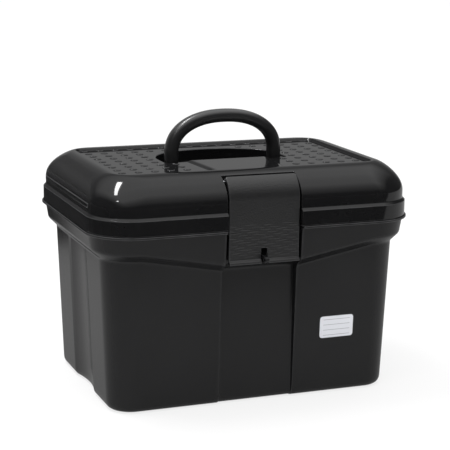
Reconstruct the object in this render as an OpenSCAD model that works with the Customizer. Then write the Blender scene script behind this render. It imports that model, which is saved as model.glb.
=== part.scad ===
// Horse grooming box: a moulded tub with a domed lid that opens on two rear hinges, a flap latch
// at the front with a padlock eye, a carrying handle that folds into the lid, and a lift-out tray.
// Millimetres. The origin is the middle of the base, +X is the box's right, -Y its front, +Z up.

/* [Box] */
// Outside width of the rim flange
box_w = 406; // [366:1:446]
// Outside depth of the rim flange
box_d = 296; // [270:1:330]
// Corner radius of the rim flange
rim_r = 56; // [48:1:62]
// Height of the parting line between tub and lid
rim_z = 215.5; // [190:0.5:250]
// Wall thickness of tub and lid
wall = 2.6; // [2:0.1:3.2]

/* [Tub] */
// Thickness of the tub's floor
floor_t = 3; // [2:0.1:5]
// Thickness of the rim flange
flange_t = 3; // [2:0.1:5]
// How far the collar lies inside the flange, just under it
collar_top_inset = 4.5; // [3:0.1:6]
// How far the collar lies inside the flange, where it starts to flare in
collar_inset = 7; // [6:0.1:9]
// How far the wall lies inside the flange, at the crease under the flare
crease_inset = 17.9; // [13:0.1:20]
// How far the wall lies inside the flange, at the base
base_inset = 25.7; // [20:0.1:28]
// Distance from the parting line down to the crease on the ends and corners
crease_below = 32.5; // [26:0.5:46]
// How far the crease falls from the corners to the middle of the front
crease_drop = 18.5; // [0:0.5:30]
// Slant of the flare's face from upright
flare_slope = 45; // [40:1:52]
// Radius of the bend between the flare and the collar
flare_bend = 8; // [5:0.5:10]
// Rounding of the bottom edge
base_round = 10; // [5:0.5:12]
// Height of the rim's upstand inside the lid
upstand_h = 5; // [3:0.5:8]
// Width of the bay down the middle of the front and the back
bay_w = 95; // [92:0.5:120]
// Slope of the bay's sides, as a run in X
bay_side = 1.5; // [0.5:0.1:3]
// How far the front bay's floor lies inside the flange, below the crease
bay_low_inset = 27.9; // [25:0.1:32]
// How far the front bay's floor lies inside the flange, behind the latch
bay_high_inset = 18; // [16.5:0.5:19]
// Depth of the bay at the back
back_bay_depth = 4; // [1:0.5:6]
// Width of the channel down the middle of each end
flute_w = 82; // [60:1:120]
// Depth of the channel down the middle of each end
flute_depth = 5; // [1:0.5:7]

/* [Lid] */
// Gap at the parting line
seam = 0.3; // [0.2:0.05:0.6]
// How far the lid's band lies inside the flange
band_inset = 2; // [1:0.1:3]
// Height of the lid's band
band_h = 17; // [12:1:22]
// Height of the rounded ledge over the band
ledge_h = 5; // [3:0.5:7]
// How far the foot of the dome lies inside the flange
dome_inset = 5; // [4:0.1:6]
// Height of the dome's foot over the parting line
dome_foot = 29.5; // [27:0.5:32]
// Height of the lid's top edge over the parting line
lid_h = 63.5; // [60:0.5:75]
// Width of the top, over its edge
top_w = 330; // [300:1:340]
// Depth of the top, over its edge
top_d = 197; // [192:1:205]
// Corner radius of the top
top_r = 14; // [10:1:20]
// How much rounder the dome's corners are halfway down, over an even change of their radius
corner_swell = 16.5; // [0:0.5:20]
// Width of the raised edge round the top
ridge_w = 2; // [1:0.1:3]
// How far the top panel lies below its raised edge
panel_drop = 3; // [2:0.1:4]
// Length of the raised bar on each end of the lid
bar_len = 189; // [120:1:194]
// Height of that bar
bar_h = 6; // [4:0.5:7]
// How far the bar stands out from the dome's foot
bar_proud = 1.2; // [0.6:0.1:2]
// Pitch of the studs on the top panel
stud_pitch = 20; // [18:0.5:24]
// Diameter of a stud
stud_d = 9; // [6:0.5:11]
// Height of a stud
stud_h = 0.8; // [0.4:0.1:1.2]

/* [Handle well] */
// Place of the handle's pivot line: minus is in front of the middle
handle_y = -5; // [-9:1:0]
// Width of the well
well_w = 160; // [130:1:176]
// Reach of the well behind the pivot line
well_back = 72.5; // [68:0.5:78]
// Length of the well's straight sides behind the pivot line
well_side = 12; // [10:1:20]
// Corner radius at the front of the well
well_corner = 5; // [4:0.5:6]
// Reach of the well in front of the pivot line
well_front = 16; // [13:0.1:18]
// Depth of the well under the top panel
well_depth = 16.5; // [15.5:0.1:20]
// Width of the smooth plate in front of the well, at the well
plate_w = 101; // [70:1:110]
// Width of that plate at the raised edge
plate_front_w = 90; // [60:1:100]
// Height of that plate over the top panel
plate_h = 2; // [1:0.1:2.8]
// Width of the sloped foot of the well's wall
well_foot = 3; // [2:0.1:3.4]
// Draft of the well's wall
well_draft = 0.6; // [0.3:0.1:1]
// Width of the sloped edge at the top of the well's wall
well_edge = 1.2; // [0.6:0.1:2]

/* [Handle] */
// Room beside the folded handle, on each side of the well
handle_room = 5; // [3:0.5:8]
// Room behind the folded handle, to the back of the well
handle_back_room = 3.2; // [2:0.1:5]
// Thickness of the handle, in its own plane
handle_t = 15; // [10:0.5:18]
// Depth of the handle, from front to back
handle_deep = 18.5; // [14:0.5:19]
// Length of the straight part of each leg over its pivot
leg_len = 16; // [14:1:22]
// Diameter of a handle pin
handle_pin_d = 6; // [4:0.5:8]
// Length of the boss that holds a handle pin behind the well's wall
handle_boss_len = 9; // [6:0.5:12]

/* [Latch] */
// Width of the latch flap
latch_w = 88; // [80:0.5:88]
// Gap between the flap and the lid's pocket on each side
latch_gap = 2.3; // [1.5:0.1:2.5]
// Thickness of the flap
latch_t = 3; // [2.5:0.1:3.5]
// How far the flap's face lies inside the flange
latch_inset = 6; // [5.5:0.1:6.5]
// Radius of the flap's curved top
latch_r = 30; // [29:0.5:31]
// Height of the curved top's middle over the dome's foot
latch_lift = 4.5; // [4:0.1:5]
// Angle of the curved top, from the upright part to the top edge
latch_angle = 61; // [58:1:62]
// Depth of the latch pin under the flap's face
latch_pin_depth = 7.8; // [7.4:0.1:8.2]
// Diameter of the latch pin
latch_pin_d = 3; // [2.5:0.1:3.5]
// Radius of the flap's knuckle round the latch pin
knuckle_r = 3.6; // [3.2:0.1:3.8]
// Reach of the flap under the parting line
latch_drop = 41.5; // [36:0.5:46]
// Height of the finger lip along the flap's lower edge
finger_lip_h = 5; // [3:0.5:7]
// How far the finger lip stands out from the flap
finger_lip_out = 3; // [1:0.5:4]
// Width of the slot for the padlock eye
slot_w = 7.6; // [7:0.1:14]
// Height of the slot over the flap's lower edge
slot_h = 18; // [15:0.5:20]
// Width of the hook on the back of the flap
hook_w = 72; // [40:1:80]
// Overlap of hook and catch
hook_bite = 3; // [2:0.1:4]
// Thickness of the hook
hook_t = 4.2; // [3:0.1:5]
// Thickness of the hook's nose
hook_nose = 1.5; // [1:0.1:2.5]
// Thickness of the catch on the tub
catch_t = 5; // [4:0.1:6]
// Distance from the parting line down to the catch
catch_drop = 7; // [5:0.5:8]
// Radius of the hole in the padlock eye
eye_r = 2.2; // [1.8:0.1:2.6]
// Thickness of the padlock eye
eye_t = 5; // [3:0.5:6]
// Width of the rim round the hole of the padlock eye
eye_rim = 1.8; // [1.5:0.1:2.5]
// Distance of the padlock eye's hole in front of the finger lip
eye_out = 1.6; // [1:0.1:3]
// Height of the padlock eye over the flap's lower edge
eye_rise = 5.5; // [5:0.1:8]
// Length of the boss that holds the latch pin on each side of the pocket
latch_boss_len = 7; // [5:0.5:10]

/* [Hinges] */
// Distance from the middle of the box to each hinge
hinge_x = 110; // [70:1:125]
// Distance of the hinge axis behind the flange
hinge_out = 8; // [8:0.5:12]
// Radius of the hinge knuckles
hinge_r = 6; // [5:0.1:6.5]
// Diameter of a hinge pin
hinge_pin_d = 5; // [4:0.5:6]
// Depth of the web under the tub's knuckles
hinge_web = 14; // [10:0.5:18]
// Width of the lid's knuckle
lid_knuckle_w = 30; // [16:1:40]
// Width of each of the tub's knuckles
tub_knuckle_w = 9; // [6:0.5:14]
// Diameter of a pin's head
pin_head_d = 8; // [7.5:0.5:10]
// Thickness of a pin's head
pin_head_t = 1.6; // [1:0.1:2.5]

/* [Tray] */
// Height of the tray, from its lip down to its floor
tray_h = 45; // [30:1:60]
// Wall thickness of the tray
tray_wall = 2; // [1.5:0.1:3]
// Clearance of the tray's body inside the tub's channels and bays
tray_gap = 3; // [2:0.5:6]
// Clearance of the tray's lip inside the tub's collar
tray_lip_gap = 2.4; // [2:0.1:4]
// Thickness of the tray's lip
tray_lip_t = 2.4; // [1.6:0.1:4]
// Corner radius of the tray's body
tray_r = 22; // [12:1:28]
// Corner radius of the tray's lip
tray_lip_r = 50; // [46:1:54]
// Distance of each cross wall from the middle of the tray
cross_x = 70; // [62:1:100]
// Height of the tray's carrying wall over its lip
grip_rise = 26; // [20:1:28]
// Width of the hand hole in the carrying wall
grip_hole_w = 92; // [80:1:100]
// Height of the hand hole in the carrying wall
grip_hole_h = 26; // [20:1:30]
// Height of the bar over the hand hole
grip_bar = 8; // [6:0.5:12]

/* [Label] */
// Width of the blank name label
label_w = 44; // [30:1:60]
// Height of the blank name label
label_h = 27; // [15:1:40]
// Thickness of the label
label_t = 0.5; // [0.3:0.1:1]
// Corner radius of the label
label_r = 4; // [2:0.5:8]
// Distance of the label from the middle of the box
label_x = 103; // [90:1:110]
// Height of the label's middle over the base
label_z = 84; // [40:1:120]

/* [Clearances] */
// Radial clearance of pins in their bores
pin_fit = 0.05; // [0.02:0.01:0.08]
// Clearance between pieces that turn past each other
turn_gap = 0.5; // [0.4:0.1:0.8]
// Clearance between hook and catch, and between tray and its seat
seat_gap = 0.4; // [0.3:0.05:0.6]
// Gap behind the latch flap, inside its pocket and its bay
flap_room = 3.5; // [3:0.1:4]
// Gap round the latch flap's knuckle, inside its pocket
knuckle_room = 2.2; // [2:0.1:2.6]
// Gap between the lid's pocket and the tub's upstand
upstand_gap = 1.5; // [1:0.1:2.5]
// Gap behind the label
label_gap = 0.05; // [0.02:0.01:0.1]

/* [Hidden] */

black = [0.07, 0.07, 0.075];
steel = [0.62, 0.63, 0.65];
paper = [0.86, 0.86, 0.83];

// Facets: per corner, channel, flare and rounded edge of the shells, per round profile, along the arch, and
// points along each side of the lid
corner_n = 6;
flute_n = 8;
flare_n = 4;
round_n = 3;
arc_n = 16;
arch_n = 28;
side_n = 11;
$fn = 48;
// Overlap of features that grow out of a shell
root = 1.2;
// Small sloped edges: at the crease, on the raised edge round the top, and on the finger lip
crease_edge = 0.6;
ridge_slope = 0.5;
lip_edge = 1;
// How far the upstand lies behind the front bay's face
upstand_step = 0.5;
// How far a handle pin stops short of the leg's inner face
pin_short = 1;
// Wall of a boss round its pin
boss_wall = 2;
// How squarely the handle's section is rounded: 1 is an ellipse, less is squarer
grip_square = 0.75;
// How squarely the arch is rounded, in the same way
arch_square = 0.92;
// Free margin round a stud
stud_margin = 3;

half_w = box_w / 2;
half_d = box_d / 2;
crease_z = rim_z - crease_below;
flare_in = crease_inset - collar_inset;
flare_h = flare_bend * sin(flare_slope) + (flare_in - bend_in(flare_slope)) / tan(flare_slope);
crease_mid_z = crease_z - crease_drop;
collar_z = rim_z - flange_t;

lid_z = rim_z + seam;
band_z = rim_z + band_h;
foot_z = rim_z + dome_foot;
lid_top = rim_z + lid_h;
panel_z = lid_top - panel_drop;
well_z = panel_z - well_depth;
pivot_z = well_z + handle_deep / 2 + turn_gap;

// The flap's curved top has this centre, and the latch pin lies on the radius of its top edge
latch_y = half_d - latch_inset;
latch_cy = latch_y - latch_r;
latch_cz = foot_z + latch_lift;
latch_low = rim_z - latch_drop;
pin_r = latch_r - latch_pin_depth;
pin_y = latch_cy + pin_r * cos(latch_angle);
pin_z = latch_cz + pin_r * sin(latch_angle);
flap_back = latch_y - latch_t;

pocket_half = latch_w / 2 + latch_gap;
pocket_side = 0.6;
pocket_back = pin_y - knuckle_r - knuckle_room;
pocket_y = flap_back - flap_room;
latch_boss_r = knuckle_r - 0.3;
// The pocket's floor under the latch pin: steps in front of the pin and over it
pocket_steps = [[-knuckle_r - knuckle_room, 0.6], [-knuckle_r - knuckle_room, -4.9],
                [2.7, -7.9], [8.5, -13.4]];

hinge_y = half_d + hinge_out;
hinge_z = rim_z;
hinge_pin_len = lid_knuckle_w + 2 * tub_knuckle_w + 2 * turn_gap;
// The handle fits the well that it folds into: places of its legs, and its rise to the middle of the grip
handle_out = well_w / 2 - handle_room;
handle_in = handle_out - handle_t;
handle_rise = well_back - handle_back_room - handle_t / 2;

catch_z = rim_z - catch_drop;
bay_high_y = half_d - bay_high_inset;
bay_low_y = half_d - bay_low_inset;
hook_tip_y = bay_high_y + flap_room;
eye_y = latch_y + finger_lip_out + eye_r + eye_out;
eye_z = latch_low + eye_rise;

tray_half_w = half_w - wall_inset(crease_z - tray_h) - wall - flute_depth - tray_gap;
tray_half_d = bay_low_y - wall - tray_gap;
tray_lip_half_w = half_w - collar_inset - wall - tray_lip_gap;
tray_lip_half_d = bay_high_y - wall - tray_lip_gap;
tray_lip_z = tray_seat_z() + seat_gap;
tray_z = tray_lip_z + tray_lip_t - tray_h;

// How far the tub's outer wall lies inside the flange at height z: a straight draft
function wall_inset(z) = base_inset + (crease_inset - base_inset) * z / crease_z;

// How far the bend at the top of the flare reaches in when it has turned through the angle a
function bend_in(a) = flare_bend * (1 - cos(a));

// Height on the inside of the flare at which the tray's lip meets it, on the bend or on the slanted face
function tray_seat_z() =
    let (a = acos(max(1 - tray_lip_gap / flare_bend, cos(flare_slope))), past = tray_lip_gap - bend_in(a))
    crease_z + flare_h - flare_bend * sin(a) - past / tan(flare_slope)
    + crease_edge * past / (flare_in - bend_in(flare_slope));

// Points of one rounded corner about [cx, cy], from the angle start, a quarter turn
function corner(cx, cy, r, start) =
    [for (i = [0 : corner_n]) let (t = start + 90 * i / corner_n) [cx + r * cos(t), cy + r * sin(t)]];

function at_z(points, z) = [for (p = points) [p[0], p[1], z]];

// Points between the values a and b, both left out
function between(a, b, n) = [for (i = [1 : n]) a + (b - a) * i / (n + 1)];

// One ring round the tub. It lies at height z and inset d, and at zm and dm beside the bays,
// with the end channels' depth, the bays' half width, the front bay's floor and the back bay's depth.
function tub_ring(d, z, dm, zm, flute, half, bay, back) =
    let (a = half_w - d, b = half_d - d, r = rim_r - d, bm = half_d - dm)
    concat(
        [[half, -bm, zm]],
        at_z(corner(a - r, r - b, r, -90), z),
        [for (i = [0 : flute_n]) let (s = 2 * i / flute_n - 1)
            [a - flute * (1 - s * s), s * flute_w / 2, z]],
        at_z(corner(a - r, b - r, r, 0), z),
        [[half, bm, zm], [half - bay_side, bm - back, zm],
         [bay_side - half, bm - back, zm], [-half, bm, zm]],
        at_z(corner(r - a, b - r, r, 90), z),
        [for (i = [0 : flute_n]) let (s = 1 - 2 * i / flute_n)
            [flute * (1 - s * s) - a, s * flute_w / 2, z]],
        at_z(corner(r - a, r - b, r, 180), z),
        [[-half, -bm, zm], [bay_side - half, -bay, zm], [half - bay_side, -bay, zm]]);

// Rings up the tub's wall from its base to the flange, moved in by t: 0 outside, wall inside
function tub_wall(t, base_z, round) =
    let (half = bay_w / 2 + t, low = bay_low_y - t, high = bay_high_y - t,
         bends = [for (i = [0 : flare_n]) flare_slope * (1 - i / flare_n)],
         flare = concat([[1, crease_edge]],
                        [for (a = bends) [bend_in(a) / flare_in, flare_h - flare_bend * sin(a)]]))
    concat(
        [for (i = [0 : round_n]) let (s = round * (1 - sin(90 * i / round_n)),
                                      z = base_z + round * (1 - cos(90 * i / round_n)),
                                      d = wall_inset(z) + s + t)
            tub_ring(d, z, d, z, flute_depth, half, low - s, back_bay_depth)],
        [tub_ring(wall_inset(crease_z) + t, crease_z, wall_inset(crease_mid_z) + t, crease_mid_z,
                  flute_depth, half, low, back_bay_depth)],
        [for (step = flare)
            let (share = step[0], rise = step[1], d = collar_inset + flare_in * share + t,
                 dm = collar_inset + (wall_inset(crease_mid_z) - collar_inset) * share + t)
            tub_ring(d, crease_z + rise, dm, crease_mid_z + rise, 0, half,
                     high + (low - high) * share, 0)]);

function flat_ring(d, z, half, bay) = tub_ring(d, z, d, z, 0, half, bay, 0);

function reverse(v) = [for (i = [len(v) - 1 : -1 : 0]) v[i]];

// Mean of a ring's points
function middle(ring) = [for (k = [0 : 2]) [for (p = ring) p[k]] * [for (p = ring) 1] / len(ring)];

// Closed skin over a stack of rings: a fan of triangles closes the first and the last ring
module skin(rings) {
    n = len(rings[0]);
    m = len(rings);
    points = concat([for (ring = rings) each ring], [middle(rings[0]), middle(rings[m - 1])]);
    sides = [for (i = [0 : m - 2], j = [0 : n - 1]) let (k = (j + 1) % n)
        each [[i * n + j, (i + 1) * n + j, (i + 1) * n + k], [i * n + j, (i + 1) * n + k, i * n + k]]];
    caps = [for (j = [0 : n - 1]) let (k = (j + 1) % n, last = (m - 1) * n)
        each [[m * n, j, k], [m * n + 1, last + k, last + j]]];
    polyhedron(points, concat(sides, caps), convexity = 10);
}

module tub_shell() {
    half = bay_w / 2;
    lip_half = pocket_half + wall + upstand_gap;
    outside = concat(
        tub_wall(0, 0, base_round),
        [flat_ring(collar_top_inset, collar_z, half, bay_high_y),
         flat_ring(0, collar_z, half, bay_high_y),
         flat_ring(0, rim_z, half, bay_high_y),
         flat_ring(collar_inset, rim_z, lip_half, bay_high_y - upstand_step),
         flat_ring(collar_inset, rim_z + upstand_h, lip_half, bay_high_y - upstand_step)]);
    inside = concat(
        tub_wall(wall, floor_t, base_round - wall),
        [flat_ring(collar_inset + wall, rim_z + upstand_h, lip_half + wall, bay_high_y - wall)]);
    skin(concat(outside, reverse(inside)));
}

// A plate across the box: a profile in Y and Z, of width w about x
module across(x, w) {
    translate([x - w / 2, 0, 0]) rotate([90, 0, 90]) linear_extrude(w) children();
}

// A rod across the box, from x0 to x1
module rod(x0, x1, y, z, r) {
    translate([x0, y, z]) rotate([0, 90, 0]) cylinder(h = x1 - x0, r = r);
}

module hinge_bores() {
    for (s = [-1, 1])
        rod(s * hinge_x - hinge_pin_len, s * hinge_x + hinge_pin_len, hinge_y, hinge_z,
            hinge_pin_d / 2 + pin_fit);
}

// Web from a wall to a hinge knuckle: the wall's two heights and two angles on the knuckle
module knuckle_profile(y, low, high, low_angle, high_angle) {
    translate([hinge_y, hinge_z]) circle(r = hinge_r);
    polygon([[y, low],
             [hinge_y + hinge_r * cos(low_angle), hinge_z + hinge_r * sin(low_angle)],
             [hinge_y + hinge_r * cos(high_angle), hinge_z + hinge_r * sin(high_angle)],
             [y, high]]);
}

module tub_knuckles() {
    gap = lid_knuckle_w / 2 + turn_gap + tub_knuckle_w / 2;
    for (s = [-1, 1], t = [-1, 1])
        across(s * hinge_x + t * gap, tub_knuckle_w)
            knuckle_profile(half_d - collar_top_inset - root, collar_z - hinge_web, rim_z - seam, -50, 180);
}

module padlock_eye() {
    reach = eye_r + eye_rim;
    back = bay_high_y - root;
    across(0, eye_t) {
        translate([-eye_y, eye_z]) circle(r = reach);
        translate([-eye_y, eye_z - reach]) square([eye_y - back, 2 * reach]);
    }
}

module tub() {
    color(black) difference() {
        union() {
            tub_shell();
            tub_knuckles();
            translate([-hook_w / 2, -hook_tip_y - hook_bite, catch_z - catch_t])
                cube([hook_w, hook_tip_y + hook_bite - bay_high_y + root, catch_t]);
            padlock_eye();
        }
        hinge_bores();
        rod(-eye_t, eye_t, -eye_y, eye_z, eye_r);
    }
}

// One ring round the lid: half sizes a and b, corner radius r, height z, and the latch pocket's
// half width, floor and floor height
function lid_ring(a, b, r, z, half, bay, bay_z) =
    concat(
        [[half, -b, z]],
        [for (x = between(half, a - r, 2)) [x, -b, z]],
        at_z(corner(a - r, r - b, r, -90), z),
        [for (y = between(r - b, b - r, side_n)) [a, y, z]],
        at_z(corner(a - r, b - r, r, 0), z),
        [for (x = between(a - r, r - a, side_n)) [x, b, z]],
        at_z(corner(r - a, b - r, r, 90), z),
        [for (y = between(b - r, r - b, side_n)) [-a, y, z]],
        at_z(corner(r - a, r - b, r, 180), z),
        [for (x = between(r - a, -half, 2)) [x, -b, z]],
        [[-half, -b, z], [pocket_side - half, -bay, bay_z], [0, -bay, bay_z],
         [half - pocket_side, -bay, bay_z]]);

// Ring at a plain inset from the flange, with the pocket's floor at bay
function band_ring(d, z, half, bay) = lid_ring(half_w - d, half_d - d, rim_r - d, z, half, bay, z);

// Ring on the dome at angle t up its quarter ellipse: w is the wall taken off inside, top its top
function dome_ring(t, w, top, half, bay, bay_z) =
    let (c = cos(t))
    lid_ring(top_w / 2 + (half_w - dome_inset - w - top_w / 2) * c,
             dome_b(t, w),
             top_r + (rim_r - dome_inset - w - top_r) * c + 4 * corner_swell * c * (1 - c),
             foot_z + (top - foot_z) * sin(t), half, bay, bay_z);

function dome_b(t, w) = top_d / 2 + (half_d - dome_inset - w - top_d / 2) * cos(t);

// Angle on the dome at which the latch pocket begins
function pocket_angle(w) = acos((pocket_back - w - top_d / 2) / (half_d - dome_inset - w - top_d / 2));

// Rings down the dome from its top edge to its foot, with the pocket round the latch pin
function dome_rings(w, top) =
    let (p = pocket_angle(w), half = pocket_half + w, n = len(pocket_steps))
    concat(
        [for (t = [90, (90 + p) / 2, p])
            dome_ring(t, w, top, half, dome_b(t, w), foot_z + (top - foot_z) * sin(t))],
        [for (i = [0 : n - 1]) let (step = pocket_steps[i])
            dome_ring(p * (n - i + 0.3) / (n + 1), w, top, half, pin_y + step[0] - w, pin_z + step[1] - w)],
        [dome_ring(0, w, top, half, pocket_y - w, foot_z)]);

// Distance from the well's middle, behind the pivot line, to its edge moved in by k, along [c, s].
// The edge is a squarish half ellipse at the back, as the handle's arch is, then straight sides and a
// straight front with round corners.
function well_reach(c, s, k) =
    let (a = well_w / 2 - k, b = well_back - well_side - k, f = well_front - k, r = well_corner - k,
         n = 2 / arch_square,
         rear = pow(pow(abs(c) / a, n) + pow(abs(s) / b, n), -1 / n),
         side = a / max(abs(c), 0.001),
         front = -(well_side + f) / s,
         e = a - r, g = well_side + f - r, h = g * s - e * abs(c),
         round = sqrt(h * h - e * e - g * g + r * r) - h)
    s >= 0 ? rear
        : well_side + side * s >= r - f ? side
        : abs(front * c) <= e ? front : round;

// Ring round the well, in line with the top panel's ring seen from the well's middle
function well_ring(k, z) =
    let (mid = [0, handle_y + well_side])
    [for (p = panel_ring(ridge_w, panel_z))
        let (v = [p[0], p[1]] - mid, u = v / norm(v), q = mid + u * well_reach(u[0], u[1], k))
        [q[0], q[1], z]];

function panel_ring(d, z) =
    lid_ring(top_w / 2 - d, top_d / 2 - d, top_r - d, z, pocket_half, top_d / 2 - d, z);

module lid_shell() {
    in_half = pocket_half + wall;
    inside = concat(
        [well_ring(well_foot - wall, well_z - wall),
         well_ring(well_draft - wall, well_z + well_foot - wall),
         well_ring(-wall, panel_z - wall)],
        dome_rings(wall, panel_z - wall),
        [band_ring(dome_inset + wall, band_z + ledge_h / 2, in_half, pocket_y - wall),
         band_ring(band_inset + wall, band_z - lip_edge, in_half, pocket_y - wall),
         band_ring(band_inset + wall, lid_z, in_half, pocket_y - wall)]);
    outside = concat(
        [band_ring(band_inset, lid_z, pocket_half, pocket_y)],
        [for (i = [0 : round_n]) let (t = 90 * i / round_n)
            band_ring(dome_inset - (dome_inset - band_inset) * cos(t), band_z + ledge_h * sin(t),
                      pocket_half, pocket_y)],
        reverse(dome_rings(0, lid_top)),
        [panel_ring(ridge_w, lid_top),
         panel_ring(ridge_w + ridge_slope, panel_z),
         well_ring(-well_edge, panel_z),
         well_ring(0, panel_z - well_edge),
         well_ring(well_draft, well_z + well_foot),
         well_ring(well_foot, well_z)]);
    skin(concat(inside, outside));
}

module lid_knuckles() {
    for (s = [-1, 1])
        across(s * hinge_x, lid_knuckle_w)
            knuckle_profile(half_d - band_inset - root, lid_z + boss_wall, band_z - boss_wall, 170, 60);
}

// Smooth plate in front of the well, up to the raised edge
module front_plate() {
    y0 = handle_y - well_front - well_edge;
    y1 = ridge_w / 2 - top_d / 2;
    translate([0, 0, panel_z - root])
        linear_extrude(root + plate_h)
            polygon([[-plate_w / 2, y0], [-plate_front_w / 2, y1],
                     [plate_front_w / 2, y1], [plate_w / 2, y0]]);
}

module handle_bosses() {
    for (s = [-1, 1])
        rod(s > 0 ? handle_out + turn_gap : -well_w / 2 - handle_boss_len,
            s > 0 ? well_w / 2 + handle_boss_len : -handle_out - turn_gap,
            handle_y, pivot_z, handle_pin_d / 2 + boss_wall);
}

module latch_bosses() {
    for (s = [-1, 1])
        rod(s > 0 ? pocket_half : -pocket_half - latch_boss_len,
            s > 0 ? pocket_half + latch_boss_len : -pocket_half, -pin_y, pin_z, latch_boss_r);
}

module end_bars() {
    for (s = [-1, 1])
        translate([s > 0 ? half_w - dome_inset - root : dome_inset - half_w - bar_proud,
                   -bar_len / 2, foot_z - bar_h / 2])
            cube([root + bar_proud, bar_len, bar_h]);
}

// True where a stud at [x, y] would meet the handle well or the plate in front of it
function off_panel(x, y) =
    let (r = stud_d / 2 + stud_margin, v = [x, y - handle_y - well_side], far = norm(v),
         run = (y + top_d / 2) / (top_d / 2 + handle_y - well_front),
         side = (plate_front_w + (plate_w - plate_front_w) * run) / 2)
    far < well_reach(v[0] / far, v[1] / far, 0) + r || (y < handle_y - well_front && abs(x) < side + r);

// Round studs on a square grid over the top panel, on both sides of its middle lines
module studs() {
    nx = floor((top_w / 2 - ridge_w - stud_d) / stud_pitch + 0.5);
    ny = floor((top_d / 2 - ridge_w - stud_d / 2) / stud_pitch + 0.5);
    for (i = [-nx : nx - 1], j = [-ny : ny - 1])
        let (x = (i + 0.5) * stud_pitch, y = (j + 0.5) * stud_pitch)
            if (!off_panel(x, y))
                translate([x, y, panel_z - root]) cylinder(h = root + stud_h, d = stud_d);
}

module lid() {
    color(black) difference() {
        union() {
            lid_shell();
            studs();
            front_plate();
            lid_knuckles();
            handle_bosses();
            latch_bosses();
            end_bars();
        }
        hinge_bores();
        rod(-well_w, well_w, handle_y, pivot_z, handle_pin_d / 2 + pin_fit);
        rod(-well_w, well_w, -pin_y, pin_z, latch_pin_d / 2 + pin_fit);
    }
}

// Outline of the flap from the side: its curved top, its upright part and the finger lip
function flap_outline() = concat(
    [for (i = [0 : arc_n]) let (t = latch_angle * (1 - i / arc_n))
        [-latch_cy - latch_r * cos(t), latch_cz + latch_r * sin(t)]],
    [[-latch_y, latch_low + finger_lip_h + lip_edge],
     [-latch_y - finger_lip_out, latch_low + finger_lip_h],
     [-latch_y - finger_lip_out, latch_low + lip_edge],
     [lip_edge - latch_y - finger_lip_out, latch_low],
     [-flap_back, latch_low]],
    [for (i = [0 : arc_n]) let (t = latch_angle * i / arc_n)
        [-latch_cy - (latch_r - latch_t) * cos(t), latch_cz + (latch_r - latch_t) * sin(t)]]);

module latch() {
    hook_top = catch_z - catch_t - 2 * seat_gap;
    web_r = (latch_r - latch_t + pin_r) / 2;
    color(black) difference() {
        union() {
            across(0, latch_w) polygon(flap_outline());
            rod(-latch_w / 2, latch_w / 2, -pin_y, pin_z, knuckle_r);
            across(0, latch_w)
                translate([-latch_cy - web_r * cos(latch_angle), latch_cz + web_r * sin(latch_angle)])
                    rotate(-latch_angle)
                        translate([lip_edge - latch_pin_depth / 2, -knuckle_r])
                            square([latch_pin_depth - 2 * lip_edge, knuckle_r]);
            across(0, hook_w)
                polygon([[-flap_back - root, hook_top - hook_t - hook_bite],
                         [-hook_tip_y, hook_top - hook_nose],
                         [-hook_tip_y, hook_top], [-flap_back - root, hook_top]]);
        }
        rod(-latch_w, latch_w, -pin_y, pin_z, latch_pin_d / 2 + pin_fit);
        translate([-slot_w / 2, -half_d, latch_low - root])
            cube([slot_w, half_d - hook_tip_y, slot_h + root]);
    }
}

module latch_pin() {
    reach = pocket_half + latch_boss_len;
    color(steel) rod(-reach, reach, -pin_y, pin_z, latch_pin_d / 2);
}

// A power that keeps the sign
function soft_power(v, e) = sign(v) * pow(abs(v), e);

// Section of the handle at a place on its arch: centre c in X and Z, angle of its outward normal
function grip_section(c, turn) =
    [for (i = [0 : arc_n - 1]) let (t = 360 * i / arc_n,
        u = handle_t / 2 * soft_power(cos(t), grip_square),
        v = handle_deep / 2 * soft_power(sin(t), grip_square))
        [c[0] + u * cos(turn), handle_y + v, c[1] + u * sin(turn)]];

// The arch: a straight leg, a squarish half ellipse over the top, and the other leg
module arch() {
    a = (handle_in + handle_out) / 2;
    b = handle_rise - leg_len;
    skin(concat(
        [grip_section([a, pivot_z], 0)],
        [for (i = [0 : arch_n]) let (t = 180 * i / arch_n)
            grip_section([a * soft_power(cos(t), arch_square),
                          pivot_z + leg_len + b * soft_power(sin(t), arch_square)],
                         atan2(soft_power(sin(t), 2 - arch_square) / b,
                               soft_power(cos(t), 2 - arch_square) / a))],
        [grip_section([-a, pivot_z], 180)]));
}

module handle() {
    color(black) difference() {
        union() {
            arch();
            for (s = [-1, 1])
                rod(s > 0 ? handle_in : -handle_out, s > 0 ? handle_out : -handle_in,
                    handle_y, pivot_z, handle_deep / 2);
        }
        rod(-well_w, well_w, handle_y, pivot_z, handle_pin_d / 2 + pin_fit);
    }
}

module handle_pin(s) {
    inner = handle_in + pin_short;
    outer = well_w / 2 + handle_boss_len;
    color(steel) rod(s > 0 ? inner : -outer, s > 0 ? outer : -inner, handle_y, pivot_z, handle_pin_d / 2);
}

module handle_pin_left() handle_pin(-1);
module handle_pin_right() handle_pin(1);

// A hinge pin with a head on its outer end
module hinge_pin(s) {
    x = s * hinge_x;
    end = hinge_pin_len / 2;
    color(steel) {
        rod(x - end, x + end, hinge_y, hinge_z, hinge_pin_d / 2);
        rod(s > 0 ? x + end : x - end - pin_head_t, s > 0 ? x + end + pin_head_t : x - end,
            hinge_y, hinge_z, pin_head_d / 2);
    }
}

module hinge_pin_left() hinge_pin(-1);
module hinge_pin_right() hinge_pin(1);

// Rounded rectangle of half sizes a and b
module rounded(a, b, r) {
    square([2 * a, 2 * (b - r)], center = true);
    square([2 * (a - r), 2 * b], center = true);
    for (x = [r - a, a - r], y = [r - b, b - r]) translate([x, y]) circle(r = r);
}

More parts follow.
